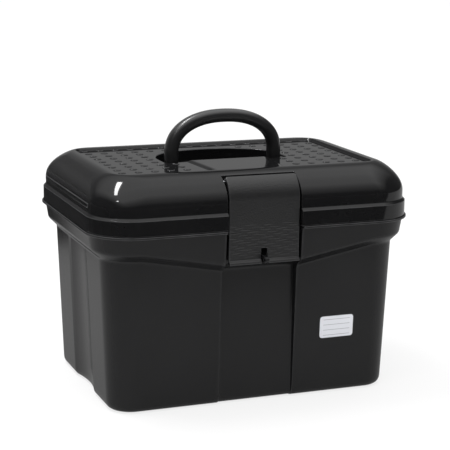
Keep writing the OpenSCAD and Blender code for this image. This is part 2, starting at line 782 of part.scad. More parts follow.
module tray() {
    inner_w = tray_half_w - tray_wall;
    inner_d = tray_half_d - tray_wall;
    top = tray_lip_z + tray_lip_t;
    grip_top = top + grip_rise;
    color(black) difference() {
        union() {
            difference() {
                union() {
                    translate([0, 0, tray_z]) linear_extrude(tray_h)
                        rounded(tray_half_w, tray_half_d, tray_r);
                    translate([0, 0, tray_lip_z]) linear_extrude(tray_lip_t)
                        rounded(tray_lip_half_w, tray_lip_half_d, tray_lip_r);
                }
                translate([0, 0, tray_z + tray_wall]) linear_extrude(tray_h)
                    rounded(inner_w, inner_d, tray_r - tray_wall);
            }
            for (x = [-cross_x, cross_x])
                translate([x - tray_wall / 2, -inner_d - tray_wall / 2, tray_z])
                    cube([tray_wall, 2 * inner_d + tray_wall, tray_h - tray_lip_t]);
            translate([-cross_x, -tray_wall, tray_z])
                cube([2 * cross_x, 2 * tray_wall, grip_top - tray_z]);
        }
        translate([0, 0, grip_top - grip_bar - grip_hole_h / 2]) rotate([90, 0, 0])
            linear_extrude(4 * tray_wall, center = true)
                rounded(grip_hole_w / 2, grip_hole_h / 2, grip_hole_h / 2 - tray_wall);
    }
}

module label() {
    lean = atan((base_inset - crease_inset) / crease_z);
    color(paper)
        translate([label_x, wall_inset(label_z) - half_d - label_gap, label_z])
            rotate([90 + lean, 0, 0])
                linear_extrude(label_t) rounded(label_w / 2, label_h / 2, label_r);
}

tub();
lid();
latch();
latch_pin();
handle();
handle_pin_left();
handle_pin_right();
hinge_pin_left();
hinge_pin_right();
tray();
label();
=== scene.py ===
"""Looks of a moulded grooming box. The moulded pieces and the label are surfaces worked out in numpy, in
millimetres, from the sizes of the solids, with finer sizes for the handle, the ledge and the raised edge.
They are put into the shared frame in metres. The pins show as the solids they are."""
import math

import bmesh
import bpy
import numpy as np
from mathutils import Matrix, Vector


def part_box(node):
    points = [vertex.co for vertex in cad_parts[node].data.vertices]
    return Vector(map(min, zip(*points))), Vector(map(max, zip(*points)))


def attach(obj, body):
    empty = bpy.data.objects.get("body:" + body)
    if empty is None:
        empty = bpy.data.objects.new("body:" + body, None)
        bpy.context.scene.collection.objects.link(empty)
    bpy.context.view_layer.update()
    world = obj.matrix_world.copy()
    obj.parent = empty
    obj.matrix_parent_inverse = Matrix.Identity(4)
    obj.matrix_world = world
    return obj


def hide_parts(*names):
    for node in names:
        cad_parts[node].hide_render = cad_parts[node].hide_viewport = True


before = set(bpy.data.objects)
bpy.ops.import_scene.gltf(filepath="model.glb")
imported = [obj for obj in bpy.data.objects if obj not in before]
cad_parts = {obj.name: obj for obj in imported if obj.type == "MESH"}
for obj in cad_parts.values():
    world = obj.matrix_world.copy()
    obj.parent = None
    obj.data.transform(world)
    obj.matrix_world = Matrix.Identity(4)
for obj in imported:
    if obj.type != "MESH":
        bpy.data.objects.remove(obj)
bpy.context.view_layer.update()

MM = 0.001
join, norm = np.concatenate, np.linalg.norm

# Sizes that several pieces share: how far small features reach into the wall that carries them, the seam
# between tub and lid, the room round what turns, and the inset of a floor's inner ring
sink, seam_gap, turn_gap, floor_ring = 1.2, 0.3, 0.5, 30

# Sizes of the tub
box_w, box_d, rim_r, rim_z, wall = 406, 296, 56, 215.5, 2.6
half_w, half_d = box_w / 2, box_d / 2
floor_t, flange_t, upstand_h, upstand_gap, upstand_back = 3, 3, 5, 1.5, 0.5
collar_top_inset, collar_inset, crease_inset, base_inset = 4.5, 7, 17.9, 25.7
crease_below, crease_drop, crease_round = 32.5, 18.5, 2.2
flare_slope, flare_bend = math.radians(45), 8
crease_z = rim_z - crease_below
crease_mid_z = crease_z - crease_drop
collar_z = rim_z - flange_t
base_round = 10
rim_rounds = [0.7, 1.0, 1.3, 0.5, 0.9, 0.9]
bay_w, bay_side, back_bay_depth = 95, 1.5, 4
bay_low_y, bay_high_y = half_d - 27.9, half_d - 18
flute_w, flute_depth, flute_stop, flute_fade = 82, 5, 2.5, 1.2

# Sizes of the lid
lid_z = rim_z + seam_gap
band_inset, band_z, band_rounds = 2, rim_z + 17, [0, 1.0, 0.6, 0.6, 0]
ledge_low, ledge_top, ledge_h, ledge_foot, ledge_round = 1, 4, 5, 7, 0.8
dome_inset, foot_z, lid_top = 5, rim_z + 29.5, rim_z + 63.5
top_w, top_d, top_r, corner_swell = 330, 197, 14, 16.5
ridge_w, ridge_slope, ridge_foot, ridge_rounds, panel_z = 2, 2.4, 6, [0, 0.3, 0.7, 0], rim_z + 60.5
bar_len, bar_h, bar_proud, bar_round = 189, 6, 1.2, 2.2
stud_pitch, stud_d, stud_h, stud_margin = 20, 9, 0.8, 3
handle_y = -5
well_w, well_back, well_side, well_front, well_corner = 160, 72.5, 12, 16, 5
well_z, well_draft, well_margin, well_rounds = panel_z - 16.5, 0.6, 4, [0, 0, 1.2, 3, 0]
plate_w, plate_front_w, plate_h, plate_side, plate_bend, plate_dip = 101, 90, 2, 5.5, 1.2, 0.05

# Sizes of the latch and its pocket
latch_w, latch_t, latch_r, latch_angle = 88, 3, 30, math.radians(61)
latch_y = half_d - 6
latch_cy, latch_cz, latch_low = latch_y - latch_r, foot_z + 4.5, rim_z - 41.5
flap_back = latch_y - latch_t
flap_corner, top_round, side_round, slot_round, lip_round = 2.5, 0.8, 0.9, 0.7, 1.2
knuckle_r, knuckle_end, pin_depth = 3.6, 0.5, 7.8
web_edge, web_start, web_reach, web_end = 0.2, 1, 6, 1
pin_y = latch_cy + (latch_r - pin_depth) * math.cos(latch_angle)
pin_z = latch_cz + (latch_r - pin_depth) * math.sin(latch_angle)
lip_h, lip_out, lip_run = 5, 3, 3.4
slot_w, slot_h = 7.6, 18
hook_w, hook_t, hook_nose, hook_bite, hook_gap, catch_t = 72, 4.2, 1.5, 3, 0.8, 5
catch_z, catch_round = rim_z - 7, 0.8
hook_tip_y = bay_high_y + 3.5
eye_r, eye_t, eye_rim, eye_out, eye_rise = 2.2, 5, 1.8, 1.6, 5.5
eye_y, eye_z = latch_y + lip_out + eye_r + eye_out, latch_low + eye_rise
pocket_half, pocket_side = latch_w / 2 + 2.3, 0.6
pocket_back, pocket_y = pin_y - knuckle_r - 2.2, flap_back - 3.5
pocket_drop, pocket_bends = 4.9, ((2.7, 7.9), (8.5, 13.4))
ripple_pitch, ripple_h, ripple_fade = 2.9, 0.32, 1.5
ripple_low, ripple_high = latch_low + 8, rim_z + 6

# Sizes of the handle, the hinges, the tray and the label
handle_span, handle_rise, handle_t, handle_deep, leg_len = 134.5, 59.7, 16.2, 18.5, 16
arch_square, well_square, section_square = 0.90, 0.92, 0.75
pivot_z = well_z + handle_deep / 2 + turn_gap
handle_pin_d, handle_boss_len, boss_wall = 6, 9, 2
hinge_x, hinge_y, hinge_z, hinge_r = 110, half_d + 8, rim_z, 6
lid_knuckle_w, tub_knuckle_w, tub_web, lid_web = 30, 9, 14, 2
tray_wall, tray_r, tray_lip_r, tray_lip_t, tray_h, tray_gap, tray_foot = 2, 22, 50, 2.4, 45, 3, 0.5
tray_rounds, cross_x, cross_round = [0, 3, 1.0, 1.0, 1.0, 0.8, 2.5, 0], 70, 1.2
grip_rise, grip_hole_w, grip_hole_h, grip_bar, grip_corner = 26, 92, 26, 8, 14
label_w, label_h, label_t, label_r, label_x, label_z, label_gap = 44, 27, 0.5, 4, 103, 84, 0.05


def steps(n, low=0.0, high=1.0):
    """n even values from low to high."""
    return np.linspace(low, high, n)


def ease(e):
    """Cubic ease from 0 to 1: 3e^2 - 2e^3."""
    return e * e * (3 - 2 * e)


def power(v, e):
    """A power that keeps the sign."""
    return np.sign(v) * np.abs(v) ** e


def span(a, b, f):
    """Straight way from a to b at the fractions f."""
    return a + (b - a) * f


QUARTER = steps(25, 0, math.pi / 2)


def ring(*stretches):
    """Rings from stretches (x, y, z) along their right half, from the front middle round to the
    back middle, and their mirror image in X. The result is rows x columns x 3."""
    right = join([np.stack(np.broadcast_arrays(*s), -1) for s in stretches], 1)
    return join([right, right[:, -2:0:-1] * (-1, 1, 1)], 1)


def front_corner(a, b, r, z):
    """Stretch round the front right corner of a rounded rectangle: half sizes, radius and height."""
    return a - r + r * np.sin(QUARTER), r - b - r * np.cos(QUARTER), z


def back_corner(a, b, r, z):
    """Stretch round the back right corner."""
    return a - r + r * np.cos(QUARTER), b - r + r * np.sin(QUARTER), z


def soften(rows, rounds, n=6):
    """Turns the corner at each inner row into a quadratic curve, column by column.
    The curve starts and ends rounds[i] from the corner, at most 0.45 of the way to its neighbours:
    (1-s)^2 start + 2s(1-s) corner + s^2 end. A guard row on each side keeps the flats flat."""
    s = steps(n + 1).reshape(-1, *[1] * (rows.ndim - 1))
    out = [rows[:1]]
    for i in range(1, len(rows) - 1):
        corner = rows[i]
        if not rounds[i]:
            out.append(corner[None])
            continue
        ends, guards = [], []
        for other in (rows[i - 1], rows[i + 1]):
            away = other - corner
            length = np.maximum(norm(away, axis=-1, keepdims=True), 1e-9)
            reach = np.minimum(rounds[i], 0.45 * length)
            ends.append(corner + away * (reach / length))
            guards.append(corner + away * (np.minimum(1.5 * reach, 0.49 * length) / length))
        out.append(guards[0][None])
        out.append((1 - s) ** 2 * ends[0] + 2 * s * (1 - s) * corner + s ** 2 * ends[1])
        out.append(guards[1][None])
    out.append(rows[-1:])
    return join(out)


def quads(m, n, wrap_rows=False):
    """Four-sided faces over a grid of m rows and n columns, closed round the columns."""
    i = np.arange(m if wrap_rows else m - 1)[:, None]
    j = np.arange(n)[None, :]
    up, on = (i + 1) % m, (j + 1) % n
    return np.stack([i * n + j, i * n + on, up * n + on, up * n + j], -1).reshape(-1, 4)


def skin(rows):
    """Closed surface over a stack of rings, with the first and last ring closed at their middles."""
    first, last = (np.repeat(r.mean(0)[None, None], rows.shape[1], 1) for r in (rows[0], rows[-1]))
    rows = join([first, rows, last])
    return rows.reshape(-1, 3), quads(*rows.shape[:2])


def tube(rows):
    """Closed surface over rings whose last ring meets the first one."""
    return rows.reshape(-1, 3), quads(*rows.shape[:2], wrap_rows=True)


def mesh_values(items, key, kind, width=1):
    """One property of a mesh's points, edges, faces or corners as an array."""
    values = np.empty(len(items) * width, kind)
    items.foreach_get(key, values)
    return values.reshape(-1, width) if width > 1 else values


def mark_edges(mesh):
    """Attribute "edge" on the points: how sharply the surface bends outwards there, in radians per
    millimetre, from the angle between neighbouring faces over the distance of their middles."""
    normal = mesh_values(mesh.polygons, "normal", float, 3)
    middle = mesh_values(mesh.polygons, "center", float, 3)
    owner = np.repeat(np.arange(len(normal)), mesh_values(mesh.polygons, "loop_total", int))
    edge = mesh_values(mesh.loops, "edge_index", int)
    inner = np.bincount(edge, minlength=len(mesh.edges)) == 2
    order = np.argsort(edge, kind="stable")
    one, two = owner[order[inner[edge[order]]]].reshape(-1, 2).T
    gap = middle[two] - middle[one]
    turn = np.arccos(np.clip((normal[one] * normal[two]).sum(1), -1, 1))
    outward = np.sign(-(gap * normal[one]).sum(1))
    bend = outward * turn * MM / np.maximum(norm(gap, axis=1), 1e-7)
    value = np.zeros(len(mesh.vertices))
    np.maximum.at(value, mesh_values(mesh.edges, "vertices", int, 2)[inner].ravel(), np.repeat(bend, 2))
    mesh.attributes.new("edge", "FLOAT", "POINT").data.foreach_set("value", value)


def new_object(name, data):
    """An object in the scene."""
    obj = bpy.data.objects.new(name, data)
    bpy.context.scene.collection.objects.link(obj)
    return obj


def piece(name, parts, body, finish, replaced=(), sharp=38):
    """One object from closed surfaces (points, faces) in millimetres, welded, smooth below the
    sharp angle in degrees, riding on a body and dressed in a finish."""
    points = join([p for p, _ in parts]) * MM
    starts = np.cumsum([0] + [len(p) for p, _ in parts[:-1]])
    faces = join([f + s for (_, f), s in zip(parts, starts)])
    mesh = bpy.data.meshes.new(name)
    mesh.from_pydata(points.tolist(), [], faces.tolist())
    work = bmesh.new()
    work.from_mesh(mesh)
    bmesh.ops.remove_doubles(work, verts=work.verts, dist=2e-6)
    bmesh.ops.dissolve_degenerate(work, edges=work.edges, dist=1e-6)
    bmesh.ops.recalc_face_normals(work, faces=work.faces)
    work.to_mesh(mesh)
    work.free()
    mesh.shade_smooth()
    mesh.set_sharp_from_angle(angle=math.radians(sharp))
    mark_edges(mesh)
    mesh.materials.append(finish)
    obj = new_object(name, mesh)
    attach(obj, body)
    if replaced:
        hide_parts(*replaced)


def outline(points, rounds, n=5):
    """Closed flat outline with softened corners."""
    loop = np.array(points, float)
    loop = join([loop[-1:], loop, loop[:1]])
    return soften(loop, [0, *rounds, 0], n)[1:-1]


def rectangle(x0, x1, z0, z1, rounds, n=5):
    """Outline of a rectangle with softened corners, from the lower left one round."""
    return outline([(x0, z0), (x1, z0), (x1, z1), (x0, z1)], rounds, n)


def circle(cy, cz, r, n=48):
    """Points on a circle."""
    t = steps(n + 1, 0, 2 * math.pi)[:-1]
    return np.stack([cy + r * np.cos(t), cz + r * np.sin(t)], -1)


def inset(loop, d):
    """A closed anticlockwise outline moved in by d along its normals."""
    along = np.roll(loop, -1, 0) - np.roll(loop, 1, 0)
    along /= np.maximum(norm(along, axis=1, keepdims=True), 1e-9)
    return loop + d * np.stack([-along[:, 1], along[:, 0]], -1)


def raise_outline(loop, depth, axis):
    """An outline in the plane square to an axis, at a depth along that axis."""
    flat = [loop[:, 0], loop[:, 1]]
    flat.insert(axis, np.full(len(loop), float(depth)))
    return np.stack(flat, -1)


def rounded_edges(loop, low, high, bevel, axis, sign=1):
    """Rings of an outline along an axis from low to high, drawn in by a quarter circle of radius bevel at
    both ends, or spread out there where sign is -1."""
    turn = steps(4, 0, math.pi / 2)
    loops = [inset(loop, sign * bevel * (1 - math.sin(t))) for t in turn]
    ends = [bevel * (1 - math.cos(t)) for t in turn]
    near = [raise_outline(flat, low + x, axis) for flat, x in zip(loops, ends)]
    far = [raise_outline(flat, high - x, axis) for flat, x in zip(loops, ends)]
    return near + far[::-1]


def prism(loop, low, high, bevel=0.5, axis=0):
    """An outline carried along an axis from low to high, with its end edges rounded by bevel."""
    return skin(np.stack(rounded_edges(loop, low, high, bevel, axis)))


def holed_plate(outer, hole, low, high, bevel=0.5, axis=0):
    """A plate with a hole: its section goes round both edges, and both outlines have equal counts."""
    inner_rows = rounded_edges(hole, low, high, bevel, axis, -1)
    return tube(np.stack(inner_rows[::-1] + rounded_edges(outer, low, high, bevel, axis)))


def rod(x0, x1, y, z, r, bevel=0.4):
    """A round bar along X with rounded ends."""
    return prism(circle(y, z, r), x0, x1, bevel)


# Tub

def wall_inset(z):
    """How far the outer wall lies inside the flange at height z: a straight draft."""
    return base_inset + (crease_inset - base_inset) * z / crease_z


def tub_ring(rows):
    """Rings round the tub. A row holds inset and height at the corners, inset and height beside
    the bays, bay half width, front bay floor and back bay depth."""
    d, z, dm, zm, half, bay, back = (c[:, None] for c in np.array(rows, float).T)
    a, b, r, bm = half_w - d, half_d - d, rim_r - d, half_d - dm
    s, e, f, t = steps(12), steps(9), steps(16), steps(33, -1, 1)
    g = np.array([0, 0.01, 0.2, 0.4, 0.6, 0.8, 0.99, 1])
    side = flute_w / 2
    return ring(
        (span(0, half - bay_side, s), -bay, zm),
        (half - bay_side * (1 - e), -span(bay, bm, ease(e)), zm),
        (span(half, a - r, f), -span(bm, b, f), span(zm, z, f)),
        front_corner(a, b, r, z),
        (a, span(r - b, -side, g), z),
        (a, side * t, z),
        (a, span(side, b - r, g), z),
        back_corner(a, b, r, z),
        (span(a - r, half, f), span(b, bm, f), span(z, zm, f)),
        (half - bay_side * e, bm - back * ease(e), zm),
        (span(half - bay_side, 0, s), bm - back, zm))


def end_channels(points):
    """Pushes the middle of each end in: a parabola across the channel, closed just below the crease."""
    x, y, z = points.T
    across = np.maximum(1 - (2 * y / flute_w) ** 2, 0)
    below = np.clip((crease_z - flute_stop - z) / flute_fade, 0, 1)
    push = flute_depth * across * below * (np.abs(x) > half_w / 2)
    return np.stack([x - np.sign(x) * push, y, z], -1)


def flare_rows(t, n=9):
    """Rows up the flare, moved in by t: a slanted face from the crease, then an arc to the collar."""
    reach = crease_inset - collar_inset
    slant = (reach - flare_bend * (1 - math.cos(flare_slope))) / math.tan(flare_slope)
    a = flare_slope * (1 - steps(n))
    share = flare_bend * (1 - np.cos(a)) / reach
    rise = slant + flare_bend * (math.sin(flare_slope) - np.sin(a))
    none = np.zeros(n)
    rows = [span(collar_inset, crease_inset, share) + t, crease_z + rise,
            span(collar_inset, wall_inset(crease_mid_z), share) + t, crease_mid_z + rise,
            none + bay_w / 2 + t, span(bay_high_y, bay_low_y, share) - t, none]
    return [list(row) for row in np.stack(rows, -1)]


def wall_rows(t, base_z):
    """Rows of the drafted wall from its foot to the crease, moved in by t."""
    half, low = bay_w / 2 + t, bay_low_y - t
    foot = wall_inset(base_z) + t
    rows = [[foot + k, base_z, foot + k, base_z, half, low - k, back_bay_depth] for k in (floor_ring, 0)]
    crease = [crease_inset + t, crease_z, wall_inset(crease_mid_z) + t, crease_mid_z]
    return rows + [[*crease, half, low, back_bay_depth]]


def tub_shell():
    """One skin: base, wall, flare, collar, flange and upstand outside, then down the inside."""
    def level(d, z, half, bay):
        return [d, z, d, z, half, bay, 0]
    half, lip_half = bay_w / 2, pocket_half + wall + upstand_gap
    lip_bay = bay_high_y - upstand_back
    rim = [level(collar_top_inset, collar_z, half, bay_high_y),
           level(0, collar_z, half, bay_high_y),
           level(0, rim_z, half, bay_high_y),
           level(collar_inset, rim_z, lip_half, lip_bay),
           level(collar_inset, rim_z + upstand_h, lip_half, lip_bay),
           level(collar_inset + wall, rim_z + upstand_h, lip_half + wall, bay_high_y - wall)]
    flare = flare_rows(0)
    outside = wall_rows(0, 0) + flare + rim
    inside = (wall_rows(wall, floor_t) + flare_rows(wall))[::-1]
    bends = [0] * len(flare)
    rounds = [0, base_round, crease_round, *bends, *rim_rounds, *bends, crease_round, base_round - wall, 0]
    points, faces = skin(soften(tub_ring(outside + inside), rounds))
    return end_channels(points), faces


def knuckle(y, low, high, low_angle, high_angle):
    """Side outline of a hinge knuckle: most of a circle round the pin, and a web to the wall."""
    t = np.radians(steps(40, low_angle, high_angle))
    barrel = np.stack([hinge_y + hinge_r * np.cos(t), hinge_z + hinge_r * np.sin(t)], -1)
    web = np.array([[y, high], [y, low]])
    return join([barrel, web] if high_angle > low_angle else [barrel[::-1], web[::-1]])


def tub_knuckles():
    """Two pairs of knuckles on the back of the tub."""
    loop = knuckle(half_d - collar_top_inset - sink, collar_z - tub_web, rim_z - seam_gap,
                   low_angle=-50, high_angle=180)
    reach = lid_knuckle_w / 2 + turn_gap
    starts = [s * hinge_x + t for s in (-1, 1) for t in (-reach - tub_knuckle_w, reach)]
    return [prism(loop, x, x + tub_knuckle_w, bevel=0.6) for x in starts]


def catch():
    """Bar across the front bay that the latch's hook goes under."""
    loop = rectangle(-hook_tip_y - hook_bite, sink - bay_high_y, catch_z - catch_t, catch_z,
                     [catch_round, 0, 0, catch_round])
    return prism(loop, -hook_w / 2, hook_w / 2, bevel=catch_round)


def padlock_eye():
    """Plate with a round nose and a hole, growing out of the front bay."""
    reach, back = eye_r + eye_rim, eye_y - bay_high_y + sink
    t = steps(73, 0, 2 * math.pi)[:-1]
    flat = np.minimum(back / np.maximum(np.cos(t), 1e-6), reach / np.maximum(np.abs(np.sin(t)), 1e-6))
    far = np.where(np.cos(t) > 0, flat, reach)
    outer = np.stack([far * np.cos(t) - eye_y, far * np.sin(t) + eye_z], -1)
    return holed_plate(outer, circle(-eye_y, eye_z, eye_r, 72), -eye_t / 2, eye_t / 2)


# Lid

def lid_ring(a, b, r, z, half, bay, bay_z):
    """Rings round the lid: half sizes, corner radius, height, then the latch pocket's half width,
    floor and floor height."""
    a, b, r, z, half, bay, bay_z = (np.reshape(v, (-1, 1)) for v in np.broadcast_arrays(
        *np.atleast_1d(a, b, r, z, half, bay, bay_z)))
    s, e, g = np.append(steps(12)[:-1], [0.99, 1]), steps(9), steps(56)
    f = join([[0, 0.003, 0.012], steps(34)[1:]])
    return ring(
        (span(0, half - pocket_side, s), -bay, bay_z),
        (half - pocket_side * (1 - e), -span(bay, b, ease(e)), span(bay_z, z, ease(e))),
        (span(half, a - r, f), -b, z),
        front_corner(a, b, r, z),
        (a, span(r - b, b - r, g), z),
        back_corner(a, b, r, z),
        (span(a - r, 0, g), b, z))


def band_ring(d, z, half, bay):
    """Ring at a plain inset from the flange, with the pocket's floor at bay."""
    return lid_ring(half_w - d, half_d - d, rim_r - d, z, half, bay, z)


def dome_rings(w, top, n=40):
    """Rings down the dome, a quarter ellipse from the top edge to the foot, with the wall w taken
    off. Below the pocket's edge its floor follows a path round the latch pin to the band."""
    t = steps(n, math.pi / 2, 0)
    c, s = np.cos(t), np.sin(t)
    b = span(top_d / 2, half_d - dome_inset - w, c)
    z = span(foot_z, top, s)
    back = pocket_back - w
    edge = math.acos((back - top_d / 2) / (half_d - dome_inset - w - top_d / 2))
    bends = [[pin_y + out - w, pin_z - down - w] for out, down in pocket_bends]
    path = np.array([[back, span(foot_z, top, math.sin(edge))], [back, pin_z - pocket_drop - w], *bends,
                     [pocket_y - w, foot_z]])
    gone = np.cumsum([0, *norm(np.diff(path, axis=0), axis=1)])
    part = np.clip((edge - t) / edge, 0, 1) * gone[-1]
    under = t < edge
    bay = np.where(under, np.interp(part, gone, path[:, 0]), b)
    bay_z = np.where(under, np.interp(part, gone, path[:, 1]), z)
    return lid_ring(span(top_w / 2, half_w - dome_inset - w, c), b,
                    span(top_r, rim_r - dome_inset - w, c) + 4 * corner_swell * c * (1 - c), z,
                    pocket_half + w, bay, bay_z)


def well_reach(c, s, k):
    """Distance from the well's middle to its edge moved in by k, along [c, s]. The edge is a squarish
    half ellipse at the back, straight sides, and a straight front with round corners."""
    a, b, f, r = well_w / 2 - k, well_back - well_side - k, well_front - k, well_corner - k
    e, g, n = well_w / 2 - well_corner, well_side + well_front - well_corner, 2 / well_square
    rear = ((np.abs(c) / a) ** n + (np.abs(s) / b) ** n) ** (-1 / n)
    side = a / np.maximum(np.abs(c), 1e-3)
    front = -(well_side + f) / np.minimum(s, -1e-6)
    h = g * s - e * np.abs(c)
    corner = np.sqrt(np.maximum(h * h - e * e - g * g + r * r, 0)) - h
    return np.where(s >= 0, rear, np.where(
        well_side + side * s >= r - f, side, np.where(np.abs(front * c) <= e, front, corner)))


def top_rows(edge, grow, drop):
    """Rows from the panel's edge in to the well's middle, seen along rays from that middle: across the
    panel to the well's edge, down its wall and over its floor. grow moves the outlines out and drop
    lowers them."""
    my = handle_y + well_side
    v = edge[0, :, :2] - (0, my)
    c, s = (v / norm(v, axis=1, keepdims=True)).T
    well, foot = well_reach(c, s, -grow), well_reach(c, s, well_draft - grow)
    rows = [(well + well_margin, panel_z), (well, panel_z), (foot, well_z), (foot / 2, well_z)]
    inner = np.stack([np.stack([t * c, my + t * s, np.full_like(c, z - drop)], -1) for t, z in rows])
    return join([edge, inner])


def lid_shell():
    """One skin: under the well and panel, down the inside, then up the band, the ledge and the dome
    to the raised edge, and over the panel into the well."""
    under = dome_rings(wall, panel_z - wall)
    well_under = soften(top_rows(under[:1], wall, wall), well_rounds)[:0:-1]

    def outer(d, z):
        return band_ring(d, z, pocket_half, pocket_y)

    def inner(d, z):
        return band_ring(d + wall, z, pocket_half + wall, pocket_y - wall)

    inside = soften(join([
        inner(dome_inset, band_z + ledge_h / 2), inner(band_inset, band_z - ledge_low),
        inner(band_inset, lid_z), outer(band_inset, lid_z), outer(band_inset, band_z)]), band_rounds)
    ledge = soften(join([
        inside[-1:], outer(band_inset, band_z + ledge_low), outer(dome_inset, band_z + ledge_top),
        outer(dome_inset, band_z + ledge_foot)]), [0, ledge_round, ledge_round, 0])
    dome = dome_rings(0, lid_top)[::-1]

    def top_ring(w, z):
        return lid_ring(top_w / 2 - w, top_d / 2 - w, top_r - w, z, pocket_half, top_d / 2 - w, z)

    ridge = soften(join([
        dome[-1:], top_ring(ridge_w, lid_top), top_ring(ridge_w + ridge_slope, panel_z),
        top_ring(ridge_w + ridge_foot, panel_z)]), ridge_rounds)
    panel = soften(top_rows(ridge[-1:], 0, 0), well_rounds)
    return skin(join([well_under, under, inside, ledge[1:], dome, ridge[1:], panel[1:]]))


def front_plate():
    """Smooth plate in front of the well. Rows run from a quarter circle at the well's edge to the raised
    edge, columns up a sloped side that eases in and out, across the top and down the other side."""
    turn = steps(6, 0, math.pi / 2)
    length = handle_y - well_front + top_d / 2 - ridge_w / 2
    far = join([plate_bend * (1 - np.cos(turn)), steps(16, plate_bend + 1, length)])[:, None]
    low = join([np.sin(turn), np.ones(16)])[:, None]
    half = span(plate_w, plate_front_w, far / length) / 2
    e = steps(9)
    slope = (e + ease(e)) / 2
    rise = join([slope, np.ones(21), slope[::-1]])
    out = half + plate_side * (0.5 - e)
    flat = (half - plate_side / 2) * steps(23, -1, 1)[1:-1]
    x = join([-out, flat, out[:, ::-1]], 1)
    y = np.broadcast_to(handle_y - well_front - far, x.shape)
    top = np.stack([x, y, panel_z - plate_dip + (plate_h + plate_dip) * low * rise], -1)
    return slab(top, top * (1, 1, 0) + (0, 0, panel_z - 1), np.ones(np.array(x.shape) - 1, bool))


def lid_studs():
    """Low round studs on a square grid over the top panel, clear of the well and the plate.
    Each is a flat dome: rings at set shares of its radius and height."""
    nx = math.floor((top_w / 2 - ridge_w - stud_d) / stud_pitch + 0.5)
    ny = math.floor((top_d / 2 - ridge_w - stud_d / 2) / stud_pitch + 0.5)
    x, y = (v.ravel() for v in np.meshgrid((np.arange(-nx, nx) + 0.5) * stud_pitch,
                                           (np.arange(-ny, ny) + 0.5) * stud_pitch))
    room = stud_d / 2 + stud_margin
    dy = y - handle_y - well_side
    far = np.hypot(x, dy)
    run = (y + top_d / 2) / (top_d / 2 + handle_y - well_front)
    side = span(plate_front_w / 2, plate_w / 2, run)
    plate = (y < handle_y - well_front) & (np.abs(x) < side + room)
    free = (far >= well_reach(x / far, dy / far, 0) + room) & ~plate
    share = np.array([1.0, 1.0, 0.93, 0.72, 0.4])
    height = np.array([-0.5, 0.35, 0.72, 0.93, 1.0])
    a = steps(21, 0, 2 * math.pi)[:-1]
    r, z = stud_d / 2 * share[:, None], panel_z + stud_h * height[:, None]
    rows = np.stack([r * np.cos(a), r * np.sin(a), np.repeat(z, len(a), 1)], -1)
    return [skin(rows + (px, py, 0)) for px, py in zip(x[free], y[free])]


def lid_knuckles():
    """One knuckle of each hinge, on the lid."""
    loop = knuckle(half_d - band_inset - sink, lid_z + lid_web, band_z - lid_web,
                   low_angle=60, high_angle=-190)
    return [prism(loop, s * hinge_x - lid_knuckle_w / 2, s * hinge_x + lid_knuckle_w / 2, bevel=0.6)
            for s in (-1, 1)]


def end_bars():
    """A raised bar along the foot of the dome on each end, with rounded edges and ends."""
    low, high = half_w - dome_inset - sink, half_w - dome_inset + bar_proud
    y, z = bar_len / 2, bar_h / 2
    loop = rectangle(-y, y, foot_z - z, foot_z + z, [bar_round] * 4)
    return [prism(loop, low, high, bevel=0.9), prism(loop, -high, -low, bevel=0.9)]


def handle_bosses():
    """Short round bosses on the well's side walls, which carry the handle pins."""
    low, high = handle_span / 2 + handle_t / 2 + turn_gap, well_w / 2 + handle_boss_len
    r = handle_pin_d / 2 + boss_wall
    return [rod(low, high, handle_y, pivot_z, r), rod(-high, -low, handle_y, pivot_z, r)]


# Latch

def edge_drop(dist, r):
    """Fall of a rounded edge of radius r at a distance from the edge: a quarter circle."""
    return r - np.sqrt(np.maximum(r * r - np.maximum(r - dist, 0) ** 2, 0))


def ripples(x, z):
    """Height of the broken ripples on the flap: rows of ridges at one pitch, bent by slow waves
    along X and faded in and out by a wave that shifts from row to row."""
    phase = z / ripple_pitch + 0.16 * np.sin(x / 7.3 + 0.6) + 0.10 * np.sin(x / 2.9 + 2.0)
    row = np.round(phase)
    ridge = np.maximum(np.cos(2 * math.pi * (phase - row)), 0) ** 2
    dash = ease(np.clip(1.1 * np.sin(x / 3.6 + 2.4 * row) + 0.5 * np.sin(x / 8.1 + 1.7 * row) + 0.45, 0, 1))
    low, high = (z - ripple_low) / ripple_fade, (ripple_high - z) / ripple_fade
    zone = ease(np.clip(low, 0, 1)) * ease(np.clip(high, 0, 1))
    return ripple_h * ridge * dash * zone


def slab(front, back, keep):
    """Closed sheet between two grids of points: faces where keep is true, and rims round them."""
    m, n = front.shape[:2]
    index = np.arange(m * n).reshape(m, n)
    a, b, c, d = index[:-1, :-1], index[:-1, 1:], index[1:, 1:], index[1:, :-1]
    top = np.stack([a, b, c, d], -1)[keep]
    faces = [top, top[:, ::-1] + m * n]
    room = np.pad(keep, 1)
    for shift, p, q in (((0, 1), a, b), ((2, 1), c, d), ((1, 0), d, a), ((1, 2), b, c)):
        rim = keep & ~room[shift[0]:shift[0] + m - 1, shift[1]:shift[1] + n - 1]
        faces.append(np.stack([q[rim], p[rim], p[rim] + m * n, q[rim] + m * n], -1))
    return join([front.reshape(-1, 3), back.reshape(-1, 3)]), join(faces)


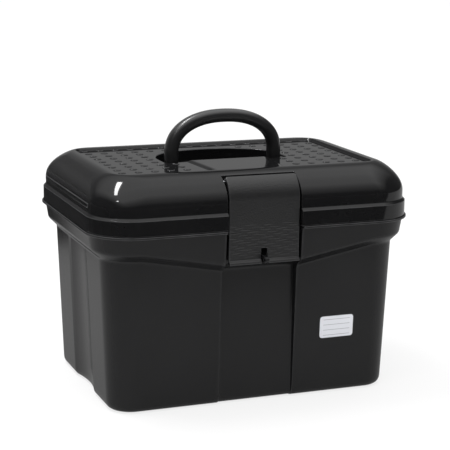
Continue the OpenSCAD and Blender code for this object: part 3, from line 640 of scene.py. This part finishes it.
def latch_flap():
    """The flap: an arc over its top and an upright part, raised along its normal by the ripples and
    the finger lip, lowered at rounded edges, with a slot open at its lower edge."""
    half, slot = latch_w / 2, slot_w / 2
    near = np.array([0, 0.08, 0.25, 0.5, 0.8, 1.1])
    right = join([slot + near, steps(52, slot + 1.9, half - 1.9), half - near[::-1]])
    x = join([-right[::-1], steps(8, -slot, slot)[1:-1], right])
    turn = latch_angle * (1 - join([near / 60, steps(40, 0.025, 1)]))
    slot_z = latch_low + slot_h
    upright = join([steps(24, latch_cz - 1, rim_z + 7), steps(96, rim_z + 6.5, slot_z),
                              slot_z - near[1:], steps(24, slot_z - 2, latch_low + 7.6),
                              steps(30, latch_low + 7.3, latch_low)])
    t = join([turn, np.zeros(len(upright))])[:, None]
    z0 = join([np.full(len(turn), latch_cz), upright])[:, None]
    run = latch_r * (latch_angle - t) + (latch_cz - z0)
    z = z0 + latch_r * np.sin(t)
    shape = half - edge_drop(run, flap_corner)
    narrow = (shape - slot) / (half - slot)
    xx = np.where(np.abs(x) > slot, np.sign(x) * (slot + (np.abs(x) - slot) * narrow), x)
    lip = lip_out * ease(np.clip((latch_low + lip_h + 1 - z) / lip_run, 0, 1)) * (t == 0)
    lip = lip - edge_drop(z - latch_low, lip_round) * (t == 0)
    beside = np.where(z < slot_z, np.abs(xx) - slot, np.hypot(np.maximum(np.abs(xx) - slot, 0), z - slot_z))
    lift = (ripples(xx, z) * (t == 0) + lip - edge_drop(run, top_round)
            - edge_drop(shape - np.abs(xx), side_round) - edge_drop(np.maximum(beside, 0), slot_round))

    def at(radius):
        y = -latch_cy - radius * np.cos(t)
        return np.stack(np.broadcast_arrays(xx, y, z0 + radius * np.sin(t)), -1)

    middle_x = np.abs(x[1:] + x[:-1]) / 2
    middle_z = (z[1:] + z[:-1]) / 2
    keep = ~((middle_x[None] < slot) & (middle_z < slot_z))
    return slab(at(latch_r + lift), at(np.full_like(lift, latch_r - latch_t)), keep)


def latch_back():
    """What the flap carries on its back: the knuckle round its pin, a web to it, and the hook."""
    half = latch_w / 2
    hook_top = catch_z - catch_t - hook_gap
    root = -flap_back - sink
    hook = outline([(root, hook_top - hook_t - hook_bite), (-hook_tip_y, hook_top - hook_nose),
                    (-hook_tip_y, hook_top), (root, hook_top)], [0, 0.5, 0.5, 0])
    out = np.array([-math.cos(latch_angle), math.sin(latch_angle)])
    down = np.array([-math.sin(latch_angle), -math.cos(latch_angle)])
    base = np.array([-pin_y, pin_z])
    web = np.array([base + far * out + low * down for far, low in (
        (web_reach, web_edge), (web_reach, knuckle_r), (web_start, knuckle_r), (web_start, web_edge))])
    slot = slot_w / 2
    return [rod(knuckle_end - half, half - knuckle_end, -pin_y, pin_z, knuckle_r, bevel=0.6),
            prism(web, web_end - half, half - web_end, bevel=0.3), prism(hook, -hook_w / 2, -slot, bevel=0.4),
            prism(hook, slot, hook_w / 2, bevel=0.4)]


# Handle

def handle_arch():
    """A rounded section carried up one leg, over a squarish half ellipse and down the other leg. Arch and
    section use powers of cosine and sine, and the depth closes in a half circle at each pivot."""
    a, b, hub = handle_span / 2, handle_rise - leg_len, handle_deep / 2
    end = steps(14, math.pi / 2, 0)
    t = steps(97, 0, math.pi)
    leg_z = join([pivot_z - hub * np.sin(end), steps(7, pivot_z + 3, pivot_z + leg_len - 3)])
    depth = join([hub * np.cos(end), np.full(7, hub)])
    c, s = np.cos(t), np.sin(t)
    leg = np.ones(len(leg_z))
    px = join([a * leg, a * power(c, arch_square), -a * leg])
    pz = join([leg_z, pivot_z + leg_len + b * power(s, arch_square), leg_z[::-1]])
    deep = join([depth, np.full(len(t), hub), depth[::-1]])[:, None]
    lean = np.arctan2(power(s, 2 - arch_square) / b, power(c, 2 - arch_square) / a)
    turn = join([0 * leg, lean, math.pi * leg])[:, None]
    q = steps(49, 0, 2 * math.pi)[:-1]
    u = handle_t / 2 * power(np.cos(q), section_square)
    v = power(np.sin(q), section_square)
    return skin(np.stack([px[:, None] + u * np.cos(turn), handle_y + deep * v,
                          pz[:, None] + u * np.sin(turn)], -1))


# Tray

def tray_ring(rows):
    """Rings of a rounded rectangle: half width, half depth, corner radius and height."""
    a, b, r, z = (c[:, None] for c in np.array(rows, float).T)
    f = steps(8)
    return ring((span(0, a - r, f), -b, z),
                front_corner(a, b, r, z),
                (a, span(r - b, b - r, f), z),
                back_corner(a, b, r, z),
                (span(a - r, 0, f), b, z))


tray_low, tray_high = (np.array(v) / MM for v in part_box("tray"))
tray_z = tray_low[2]
tray_top = tray_z + tray_h
tray_lip_w, tray_lip_d = tray_high[0], tray_high[1]
tray_half_d = bay_low_y - wall - tray_gap
tray_half_w = half_w - wall_inset(crease_z - tray_h) - wall - flute_depth - tray_gap


def tray_body():
    """One skin: floor and wall outside, the lip, and down the inside to the floor."""
    a, b, c, d, r = tray_half_w, tray_half_d, tray_lip_w, tray_lip_d, tray_r
    t, lip = tray_wall, tray_top - tray_lip_t
    inner = (a - floor_ring, b - floor_ring, r)
    rows = [(*inner, tray_z), (a, b, r, tray_z), (a, b, r, lip), (c, d, tray_lip_r, lip),
            (c, d, tray_lip_r, tray_top), (a - t, b - t, r - t, tray_top),
            (a - t, b - t, r - t, tray_z + t), (*inner, tray_z + t)]
    return skin(soften(tray_ring(rows), tray_rounds))


def tray_walls():
    """Two cross walls, and the carrying wall. The wall's outline is spaced evenly along its length, and
    the hand hole, a bar with round ends, lies on the same rays from its middle."""
    b, t = tray_half_d - tray_wall / 2, tray_wall
    foot, top = tray_z + tray_foot, tray_top - tray_lip_t
    cross = rectangle(-b, b, foot, top, [0, 0, cross_round, cross_round])
    grip_top = tray_top + grip_rise
    hole_z = grip_top - grip_bar - grip_hole_h / 2
    a, low, high = cross_x + t / 2, foot - hole_z, grip_top - hole_z
    edge = rectangle(-a, a, low, high, [0, 0, grip_corner, grip_corner], 12)
    edge = join([edge, edge[:1]])
    gone = np.cumsum([0, *norm(np.diff(edge, axis=0), axis=1)])
    along = steps(161, 0, gone[-1])[:-1]
    outer = np.stack([np.interp(along, gone, edge[:, k]) for k in (0, 1)], -1)
    c, s = np.abs(outer / norm(outer, axis=1, keepdims=True)).T
    r, flat = grip_hole_h / 2, grip_hole_w / 2 - grip_hole_h / 2
    straight = r / np.maximum(s, 1e-6)
    bend = flat * c + np.sqrt(np.maximum(r * r - (flat * s) ** 2, 0))
    reach = np.where(straight * c <= flat, straight, bend)
    hole = outer * (reach / norm(outer, axis=1))[:, None]
    plates = [prism(cross, x - t / 2, x + t / 2) for x in (-cross_x, cross_x)]
    return plates + [holed_plate(outer + (0, hole_z), hole + (0, hole_z), -t, t, bevel=0.9, axis=1)]


# Label

def label_plate():
    """A thin rounded rectangle that follows the lean of the front wall."""
    a, b = label_w / 2, label_h / 2
    loop = rectangle(label_x - a, label_x + a, label_z - b, label_z + b, [label_r] * 4, 10)
    points, faces = prism(loop, 0, label_t, bevel=0.15, axis=1)
    y = -(half_d - wall_inset(points[:, 2])) - label_gap - points[:, 1]
    return np.stack([points[:, 0], y, points[:, 2]], -1), faces


# Finishes

def feed(tree, socket, value):
    """Joins an output socket to an input socket, or sets the input to a plain value."""
    if isinstance(value, bpy.types.NodeSocket):
        tree.links.new(value, socket)
    else:
        socket.default_value = value


def fill(tree, node, **values):
    """Feeds a node's inputs by name."""
    for key, value in values.items():
        feed(tree, node.inputs[key.replace("_", " ")], value)


def add(tree, kind, **values):
    """A node with its properties and inputs set by name."""
    node = tree.nodes.new(kind)
    for key, value in values.items():
        if hasattr(node, key):
            setattr(node, key, value)
        else:
            fill(tree, node, **{key: value})
    return node


def calc(tree, operation, *values, clamp=False):
    """Output of a maths node over numbers or sockets."""
    node = add(tree, "ShaderNodeMath", operation=operation, use_clamp=clamp)
    for socket, value in zip(node.inputs, values):
        feed(tree, socket, value)
    return node.outputs[0]


def times(tree, value, *others):
    """Product of numbers or sockets."""
    for other in others:
        value = calc(tree, "MULTIPLY", value, other)
    return value


def remap(tree, source, low, high, to_low, to_high):
    """A value carried from one range to another and clamped."""
    return add(tree, "ShaderNodeMapRange", Value=source, From_Min=low, From_Max=high,
               To_Min=to_low, To_Max=to_high).outputs["Result"]


def blend(tree, factor, a, b):
    """A mix of two colours."""
    return add(tree, "ShaderNodeMix", data_type="RGBA", Factor=factor, A=a, B=b).outputs["Result"]


def noise(tree, coords, **values):
    """A cloud of values round 0.5."""
    return add(tree, "ShaderNodeTexNoise", Vector=coords, **values).outputs["Fac"]


def bump(tree, height, strength, distance):
    """The normal of a surface raised by a height."""
    return add(tree, "ShaderNodeBump", Strength=strength, Distance=distance, Height=height).outputs["Normal"]


def node_group(name, numbers, outputs):
    """A shader group over coordinates, with named numbers in and out; gives the tree, what it is given
    and what it makes."""
    tree = bpy.data.node_groups.new(name, "ShaderNodeTree")

    def socket(label, way, kind="Float"):
        return tree.interface.new_socket(name=label, in_out=way, socket_type="NodeSocket" + kind)

    socket("Vector", "INPUT", "Vector")
    for label, value in numbers.items():
        socket(label, "INPUT").default_value = value
    for label in outputs:
        socket(label, "OUTPUT")
    return tree, tree.nodes.new("NodeGroupInput").outputs, tree.nodes.new("NodeGroupOutput").inputs


def grain_group():
    """Moulded grain: fine pits for the bump, and a slow cloud for tone and gloss."""
    tree, given, made = node_group("moulded_grain", {"Grain Scale": 900.0}, ["Height", "Cloud"])
    coords = given["Vector"]
    fine = noise(tree, coords, Scale=given["Grain Scale"], Detail=2.0, Roughness=0.55)
    slow = noise(tree, coords, Scale=14.0, Detail=4.0, Roughness=0.6)
    feed(tree, made["Height"], fine)
    feed(tree, made["Cloud"], slow)
    return tree


def scuff_group():
    """Handling marks: thin stretched streaks, broken up by a coarse cloud, as a mask."""
    tree, given, made = node_group("handling_marks", {"Amount": 0.5}, ["Mask"])
    turn = add(tree, "ShaderNodeMapping", Vector=given["Vector"], Rotation=(0.3, 0.2, 0.6),
               Scale=(25, 420, 420))
    streak = noise(tree, turn.outputs["Vector"], Scale=1.0, Detail=1.0)
    cloud = noise(tree, given["Vector"], Scale=22.0, Detail=2.0)
    feed(tree, made["Mask"], times(tree, remap(tree, streak, 0.66, 0.74, 0, 1),
                                   remap(tree, cloud, 0.52, 0.66, 0, 1), given["Amount"]))
    return tree


def wear_and_highlight_group():
    """Mask of paler edges, partly rubbed and partly a painted highlight: where the surface bends outwards
    over a rounded edge, broken up by a cloud.
    """
    tree, given, made = node_group("edge_wear_and_highlight", {"Edge": 0.0, "Amount": 0.5}, ["Mask"])
    bent = remap(tree, given["Edge"], 0.2, 0.7, 0, 1)
    unsharp = remap(tree, given["Edge"], 1.6, 2.2, 1, 0)
    cloud = remap(tree, noise(tree, given["Vector"], Scale=70.0, Detail=3.0), 0.3, 0.7, 0.45, 1)
    feed(tree, made["Mask"], times(tree, bent, unsharp, cloud, given["Amount"]))
    return tree


GRAIN, SCUFF, WEAR_AND_HIGHLIGHT = grain_group(), scuff_group(), wear_and_highlight_group()
CLOUD_RANGE = (0.3, 0.7)
# Pale grey laid on outward edges: partly rubbed plastic, partly a painted highlight for light that rounded
# edges catch
RUBBED_AND_HIGHLIT_GREY = (0.10, 0.10, 0.103)
SCUFF_ROUGH = 0.22
PLASTIC_IOR = 1.5


def material(name):
    """An empty material with a Principled shader; gives the material, its tree and the shader."""
    made = bpy.data.materials.new(name)
    made.use_nodes = True
    return made, made.node_tree, made.node_tree.nodes["Principled BSDF"]


def object_coords(tree):
    """Coordinates fixed to the piece."""
    return add(tree, "ShaderNodeTexCoord").outputs["Object"]


def group(tree, shared, coords, **values):
    """Outputs of a shared group in a material, fed with coordinates and its own values."""
    return add(tree, "ShaderNodeGroup", node_tree=shared, Vector=coords, **values).outputs


def moulded_plastic(name, dark, light, gloss, dull, scuffs, wear_and_highlight=0.5, grain_scale=1500.0, grain_depth=0.01,
                    specular=0.0, coat=0.0, coat_rough=0.1):
    """Moulded plastic: two near tones by a slow cloud, paler edges that are partly rubbed and partly a
    painted highlight, gloss that varies with cloud and handling marks, a fine grain in the bump, and the
    smooth skin of the mould as a thin coat."""
    made, tree, shader = material(name)
    coords = object_coords(tree)
    grain = group(tree, GRAIN, coords, Grain_Scale=grain_scale)
    marks = group(tree, SCUFF, coords, Amount=scuffs)
    edge = add(tree, "ShaderNodeAttribute", attribute_name="edge").outputs["Fac"]
    rubbed_and_highlit = group(tree, WEAR_AND_HIGHLIGHT, coords, Edge=edge, Amount=wear_and_highlight)
    tone = blend(tree, remap(tree, grain["Cloud"], *CLOUD_RANGE, 0, 1), (*dark, 1), (*light, 1))
    rough = calc(tree, "ADD", remap(tree, grain["Cloud"], *CLOUD_RANGE, gloss, dull),
                 remap(tree, marks["Mask"], 0, 1, 0, SCUFF_ROUGH))
    # Base colour: paler grey on outward edges, partly rubbing and partly a painted highlight
    fill(tree, shader, Base_Color=blend(tree, rubbed_and_highlit["Mask"], tone, (*RUBBED_AND_HIGHLIT_GREY, 1)), Roughness=rough,
         Normal=bump(tree, grain["Height"], 1.0, grain_depth * MM), Specular_IOR_Level=specular,
         Coat_Weight=coat, Coat_Roughness=coat_rough, Coat_IOR=PLASTIC_IOR)
    return made


def pin_steel():
    """Drawn steel rod: fine lines round the rod in gloss and bump, and a slow change of tone."""
    made, tree, shader = material("pin_steel")
    coords = object_coords(tree)
    stretch = add(tree, "ShaderNodeMapping", Vector=coords, Scale=(2500, 60, 60))
    lines = noise(tree, stretch.outputs["Vector"], Scale=1.0, Detail=2.0)
    grain = group(tree, GRAIN, coords, Grain_Scale=400.0)
    tone = blend(tree, grain["Cloud"], (0.52, 0.53, 0.55, 1), (0.66, 0.67, 0.69, 1))
    fill(tree, shader, Base_Color=tone, Roughness=remap(tree, lines, *CLOUD_RANGE, 0.24, 0.42),
         Normal=bump(tree, lines, 0.6, 0.02 * MM), Metallic=1.0)
    return made


def label_film():
    """White label film with grey ruled lines to write on, between two margins."""
    made, tree, shader = material("label_film")
    coords = object_coords(tree)
    axes = add(tree, "ShaderNodeSeparateXYZ", Vector=coords).outputs
    pitch, margin = 6.5 * MM, 4.5 * MM
    thin, thick = 0.22 * MM, 0.32 * MM
    rise = calc(tree, "SUBTRACT", axes["Z"], (label_z - label_h / 2) * MM + pitch / 2)
    line = remap(tree, calc(tree, "PINGPONG", rise, pitch / 2), thin, thick, 1, 0)
    side = calc(tree, "ABSOLUTE", calc(tree, "SUBTRACT", axes["X"], label_x * MM))
    ends = label_w / 2 * MM - margin
    ruled = times(tree, line, remap(tree, side, ends, ends + 0.1 * MM, 1, 0))
    grain = group(tree, GRAIN, coords, Grain_Scale=1600.0)
    paper = blend(tree, grain["Cloud"], (0.72, 0.73, 0.78, 1), (0.78, 0.79, 0.83, 1))
    fill(tree, shader, Base_Color=blend(tree, ruled, paper, (0.30, 0.31, 0.34, 1)),
         Roughness=remap(tree, grain["Height"], *CLOUD_RANGE, 0.38, 0.5))
    return made


BLACK = ((0.0060, 0.0060, 0.0064), (0.0076, 0.0076, 0.0080))
SHELL = moulded_plastic("black_shell", *BLACK, gloss=0.26, dull=0.32, scuffs=0.5, coat=0.5, coat_rough=0.06)
SATIN = moulded_plastic("black_satin", *BLACK, gloss=0.30, dull=0.38, grain_depth=0.012, scuffs=0.6,
                        coat=0.40, coat_rough=0.26)
TEXTURED = moulded_plastic("black_textured", (0.007, 0.007, 0.0075), (0.010, 0.010, 0.0105), gloss=0.38,
                           dull=0.44, scuffs=0.3, wear_and_highlight=0.2, grain_scale=520.0, grain_depth=0.30,
                           specular=0.42)
GRIP = moulded_plastic("black_handle", (0.009, 0.009, 0.0095), (0.012, 0.012, 0.0125), gloss=0.30,
                       dull=0.36, scuffs=0.7, wear_and_highlight=0.3, specular=0.40, coat=0.4, coat_rough=0.18)
TRAY = moulded_plastic("black_tray", (0.010, 0.010, 0.0105), (0.013, 0.013, 0.0135), gloss=0.42, dull=0.5,
                       grain_scale=1200.0, grain_depth=0.03, scuffs=0.5, specular=0.30)
STEEL = pin_steel()
FILM = label_film()

# Pieces
piece("tub_shell", [tub_shell()], "tub", SATIN, ["tub"])
piece("tub_hinge_knuckles", tub_knuckles(), "tub", SATIN)
piece("tub_catch", [catch()], "tub", SATIN)
piece("padlock_eye", [padlock_eye()], "tub", SATIN)
piece("lid_shell", [lid_shell()], "lid", SHELL, ["lid"])
piece("lid_front_plate", [front_plate()], "lid", SHELL)
piece("lid_studs", lid_studs(), "lid", SHELL)
piece("lid_hinge_knuckles", lid_knuckles(), "lid", SHELL)
piece("lid_end_bars", end_bars(), "lid", SHELL)
piece("handle_bosses", handle_bosses(), "lid", SHELL)
piece("latch_flap", [latch_flap()], "latch", TEXTURED, ["latch"], sharp=50)
piece("latch_back", latch_back(), "latch", TEXTURED)
piece("handle_arch", [handle_arch()], "handle", GRIP, ["handle"])
piece("tray_body", [tray_body()], "tray", TRAY, ["tray"])
piece("tray_walls", tray_walls(), "tray", TRAY)
piece("label_plate", [label_plate()], "tub", FILM, ["label"])
for name in ("latch_pin", "handle_pin_left", "handle_pin_right", "hinge_pin_left", "hinge_pin_right"):
    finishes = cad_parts[name].data.materials
    finishes.clear()
    finishes.append(STEEL)


# Floor, light and camera

def floor():
    """A wide pale floor. Seen by the camera, in gloss or through glass it is white, less the
    object's soft shadow; to other rays it is plain white paint."""
    mesh = bpy.data.meshes.new("floor")
    r, z, share = 30.0, -0.0002, 0.75
    mesh.from_pydata([(-r, -r, z), (r, -r, z), (r, r, z), (-r, r, z)], [], [(0, 1, 2, 3)])
    made, tree, shader = material("floor")
    fill(tree, shader, Base_Color=(0.95, 0.95, 0.95, 1), Roughness=0.9, Specular_IOR_Level=0.0)
    rays = add(tree, "ShaderNodeLightPath").outputs
    seen = calc(tree, "ADD", rays["Is Camera Ray"], rays["Is Glossy Ray"])
    shown = calc(tree, "ADD", seen, rays["Is Transmission Ray"], clamp=True)
    glow = add(tree, "ShaderNodeEmission", Color=(1, 1, 1, 1), Strength=1.0)
    mix = add(tree, "ShaderNodeMixShader", Fac=times(tree, shown, share))
    feed(tree, mix.inputs[1], shader.outputs["BSDF"])
    feed(tree, mix.inputs[2], glow.outputs["Emission"])
    fill(tree, tree.nodes["Material Output"], Surface=mix.outputs["Shader"])
    mesh.materials.append(made)
    obj = new_object("floor", mesh)


def dark_card(places, height):
    """A dark card that stands on the floor along a path of places, thins out towards its top, and only
    shows in gloss, to keep the far floor out of it."""
    n = len(places)
    points = [(x, y, z) for z in (0, height) for x, y in places]
    mesh = bpy.data.meshes.new("dark_card")
    mesh.from_pydata(points, [], [(i, i + 1, n + i + 1, n + i) for i in range(n - 1)])
    made, tree, shader = material("dark_card")
    axes = add(tree, "ShaderNodeSeparateXYZ", Vector=object_coords(tree)).outputs
    fill(tree, shader, Base_Color=(0.05, 0.05, 0.05, 1), Roughness=0.9,
         Alpha=remap(tree, axes["Z"], 0.25 * height, height, 1, 0))
    mesh.materials.append(made)
    obj = new_object("dark_card", mesh)
    obj.visible_camera = obj.visible_diffuse = obj.visible_shadow = False


def studio_sky():
    """Light of a studio by the angle from the front horizon over the top to the back horizon: dim in
    front, a wide soft panel overhead that ends to the left and right, a gap, and a pale backdrop."""
    levels = [(0, 0.12), (14, 0.14), (40, 1.0), (60, 2.0), (100, 2.0), (130, 1.2), (147, 0.32), (162, 0.32),
              (168, 0.55), (180, 0.55)]
    peak, rest = 2.0, 0.12
    world = bpy.data.worlds.new("studio")
    world.use_nodes = True
    tree = world.node_tree
    coords = add(tree, "ShaderNodeTexCoord").outputs["Generated"]
    axes = add(tree, "ShaderNodeSeparateXYZ", Vector=coords).outputs
    angle = calc(tree, "ARCTAN2", axes["Z"], times(tree, axes["Y"], -1.0))
    ramp = add(tree, "ShaderNodeValToRGB", Fac=remap(tree, angle, 0, math.pi, 0, 1))
    stops = ramp.color_ramp.elements
    for i, (degrees, level) in enumerate(levels):
        stop = stops[i] if i < 2 else stops.new(degrees / 180)
        stop.position = degrees / 180
        stop.color = (*[level / peak] * 3, 1)
    left = remap(tree, axes["X"], -0.75, -0.5, 0, 1)
    right = remap(tree, axes["X"], 0.55, 0.8, 1, 0)
    light = add(tree, "ShaderNodeMix", Factor=times(tree, left, right), A=rest,
                B=times(tree, ramp.outputs["Color"], peak))
    fill(tree, tree.nodes["Background"], Color=(1, 1, 1, 1), Strength=light.outputs["Result"])
    bpy.context.scene.world = world


def place(name, data, across, up, back, at):
    """Puts a lamp or a camera at a place, with its axes along three directions."""
    obj = new_object(name, data)
    turn = Matrix((across, up, back)).transposed().to_4x4()
    obj.matrix_world = Matrix.Translation(at) @ turn
    return obj


def lamp(name, toward, distance, along, size, watts):
    """A soft rectangular lamp: where it stands as a direction and a distance from the lid's front left
    corner, which it faces, with its long side along a direction."""
    in_x, in_y, down = 32, 29, 12
    aim = Vector((-half_w + in_x, -half_d + in_y, lid_top - down)) * MM
    back = Vector(toward).normalized()
    up = back.cross(Vector(along)).normalized()
    data = bpy.data.lights.new(name, "AREA")
    data.shape, data.size, data.size_y, data.energy = "RECTANGLE", *size, watts
    place(name, data, up.cross(back), up, back, aim + back * distance)


def photo_camera():
    """The camera of the photograph: azimuth, elevation, roll, distance and focal length in pixels
    of a 450 pixel frame, looking at a point in the box."""
    azimuth, elevation, roll = (math.radians(v) for v in (-21.3, 12.2, 0.7))
    distance, target, focal, image, sensor = 1.8313, Vector((0.0059, 0, 0.1897)), 1463.7, 450, 36
    back = Vector((math.sin(azimuth) * math.cos(elevation), -math.cos(azimuth) * math.cos(elevation),
                   math.sin(elevation)))
    right = Vector((math.cos(azimuth), math.sin(azimuth), 0))
    up = back.cross(right)
    data = bpy.data.cameras.new("photo")
    data.sensor_width = sensor
    data.lens = focal / image * sensor
    data.clip_end = 100
    across = math.cos(roll) * right + math.sin(roll) * up
    upward = math.cos(roll) * up - math.sin(roll) * right
    bpy.context.scene.camera = place("photo", data, across, upward, back, target + back * distance)


floor()
studio_sky()
dark_card([(-0.15, 0.72), (-0.8, 0.68), (-1.0, 0.37), (-1.1, -0.1), (-1.02, -0.5), (-0.82, -0.79),
           (-0.5, -0.95), (0.3, -0.97), (1.3, -0.95)], 0.6)
lamp("strip", (-0.25, 0.32, 0.91), 2.0, (-0.41, -0.52, 0.03), (1.2, 0.16), 24)
lamp("dot", (-0.59, -0.30, 0.75), 1.8, (1, 0, 0), (0.12, 0.12), 2)
photo_camera()
bpy.context.scene.view_settings.view_transform = "Standard"
